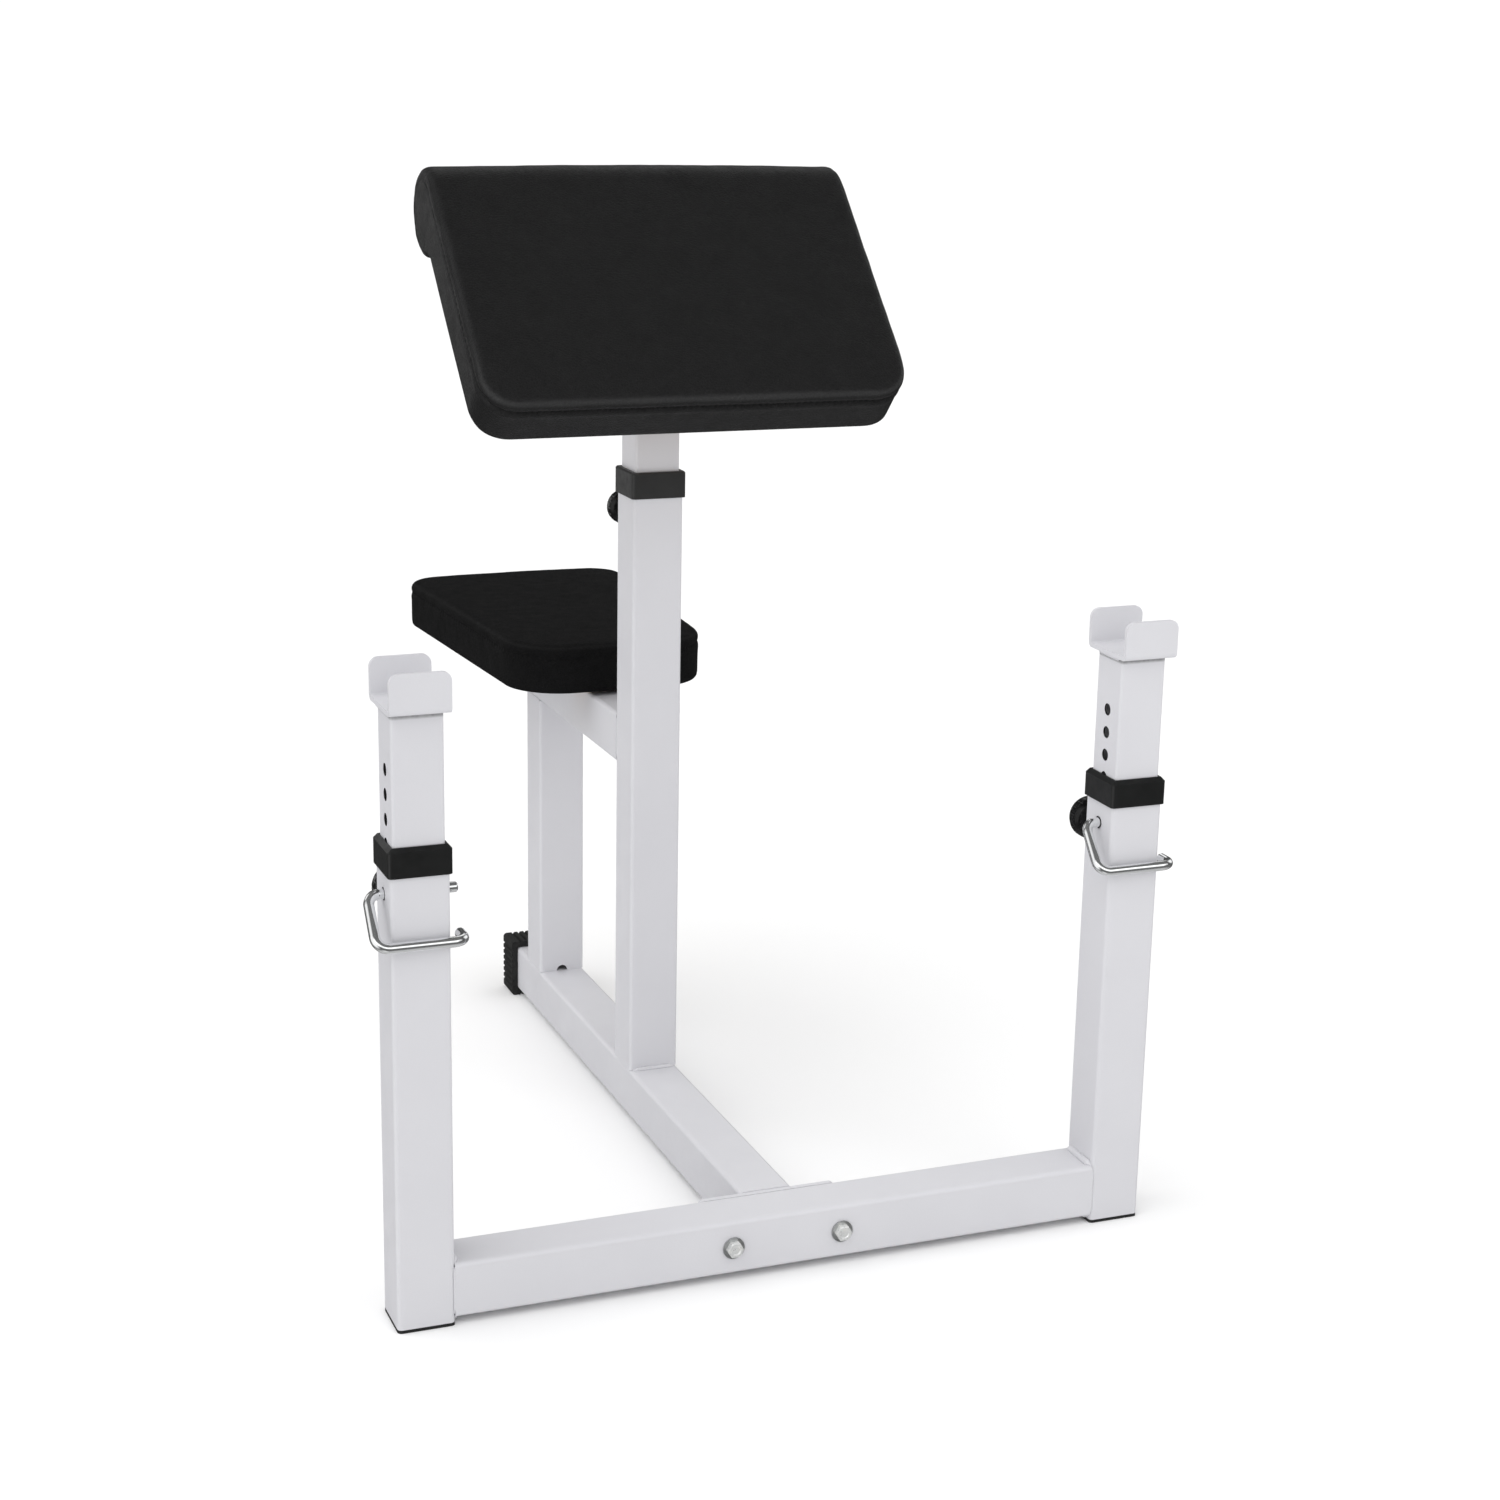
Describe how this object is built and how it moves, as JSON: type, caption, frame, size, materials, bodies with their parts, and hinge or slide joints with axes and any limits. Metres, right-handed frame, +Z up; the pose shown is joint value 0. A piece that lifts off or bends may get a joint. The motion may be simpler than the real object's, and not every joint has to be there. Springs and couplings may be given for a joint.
{
  "type": "preacher curl bench",
  "caption": "Free-standing preacher curl bench: sloping arm pad on a telescoping mast, upholstered seat and height-adjustable bar rests on a white square-tube frame.",
  "frame": {"origin": "on the floor, at the middle of the bench's footprint", "axes": "+X to the right for someone facing the bar rests from the front, +Y from the bar rests towards the seat, +Z up"},
  "size_m": [0.744, 0.876, 0.9423],
  "materials": {
    "white_powder_coat": "satin",
    "black_vinyl": "satin",
    "black_plastic": "satin",
    "black_rubber": "matte",
    "knob_plastic": "satin",
    "chrome": "polished",
    "zinc_steel": "satin",
    "plywood": "matte"
  },
  "bodies": {
    "frame": {"left_upright": "white_powder_coat", "right_upright": "white_powder_coat", "front_crossbeam": "white_powder_coat", "base_flange_plate": "white_powder_coat", "base_tube": "white_powder_coat", "main_post": "white_powder_coat", "seat_post": "white_powder_coat", "seat_support_tube": "white_powder_coat", "seat_mount_plate": "white_powder_coat", "seat_board": "plywood", "seat_cushion": "black_vinyl", "seat_bolts": "zinc_steel", "flange_bolts": "zinc_steel", "flange_washers": "zinc_steel", "flange_nuts": "zinc_steel", "left_foot_plug": "black_plastic", "right_foot_plug": "black_plastic", "rear_foot_cap": "black_rubber", "seat_tube_plug": "black_plastic", "left_guide_collar": "black_plastic", "right_guide_collar": "black_plastic", "mast_guide_collar": "black_plastic", "left_clamp_nut": "white_powder_coat", "right_clamp_nut": "white_powder_coat", "pop_pin_housing": "white_powder_coat", "pop_pin_spring": "zinc_steel"},
    "pad_mast": {"mast_tube": "white_powder_coat", "mast_glide": "black_plastic", "pad_mount_plate": "white_powder_coat", "pad_board": "plywood", "pad_cushion": "black_vinyl", "pad_bolts": "zinc_steel"},
    "left_bar_rest": {"left_rest_tube": "white_powder_coat", "left_rest_glide": "black_plastic", "left_bar_cradle": "white_powder_coat"},
    "right_bar_rest": {"right_rest_tube": "white_powder_coat", "right_rest_glide": "black_plastic", "right_bar_cradle": "white_powder_coat"},
    "left_pin": {"left_lock_pin": "chrome"},
    "right_pin": {"right_lock_pin": "chrome"},
    "left_screw": {"left_clamp_stud": "zinc_steel"},
    "right_screw": {"right_clamp_stud": "zinc_steel"},
    "left_grip": {"left_clamp_knob": "knob_plastic"},
    "right_grip": {"right_clamp_knob": "knob_plastic"},
    "pop_pin": {"pop_pin_plunger": "chrome", "pop_pin_knob": "knob_plastic"}
  },
  "joints": [
    {"name": "pad_height", "type": "slide", "parent": "frame", "child": "pad_mast", "axis": [0, 0, 1], "range_m": [-0.1, 0.05]},
    {"name": "left_rest_height", "type": "slide", "parent": "frame", "child": "left_bar_rest", "axis": [0, 0, 1], "range_m": [-0.105, 0.021]},
    {"name": "right_rest_height", "type": "slide", "parent": "frame", "child": "right_bar_rest", "axis": [0, 0, 1], "range_m": [-0.105, 0.021]},
    {"name": "left_lock_pin_swing", "type": "hinge", "parent": "frame", "child": "left_pin", "pos_m": [-0.33, -0.403, 0.384], "axis": [-1, 0, 0], "range_deg": [0, 95]},
    {"name": "right_lock_pin_swing", "type": "hinge", "parent": "frame", "child": "right_pin", "pos_m": [0.33, -0.403, 0.384], "axis": [-1, 0, 0], "range_deg": [0, 95]},
    {"name": "left_clamp_travel", "type": "slide", "parent": "frame", "child": "left_screw", "axis": [0, 1, 0], "range_m": [0, 0.003]},
    {"name": "left_clamp_turn", "type": "hinge", "parent": "left_screw", "child": "left_grip", "pos_m": [-0.33, -0.36, 0.37], "axis": [0, 1, 0], "range_deg": [0, 725]},
    {"name": "right_clamp_travel", "type": "slide", "parent": "frame", "child": "right_screw", "axis": [0, 1, 0], "range_m": [0, 0.003]},
    {"name": "right_clamp_turn", "type": "hinge", "parent": "right_screw", "child": "right_grip", "pos_m": [0.33, -0.36, 0.37], "axis": [0, 1, 0], "range_deg": [0, 725]},
    {"name": "pop_pin_pull", "type": "slide", "parent": "frame", "child": "pop_pin", "axis": [0, 1, 0], "range_m": [0, 0.01], "stiffness_N_per_m": 1500, "springref_m": -0.005, "deforming": ["pop_pin_spring"]}
  ],
  "couplings": [
    {"joint": "left_clamp_turn", "follows": "left_clamp_travel", "rad_per_m": 4188.8},
    {"joint": "right_clamp_turn", "follows": "right_clamp_travel", "rad_per_m": 4188.8}
  ]
}
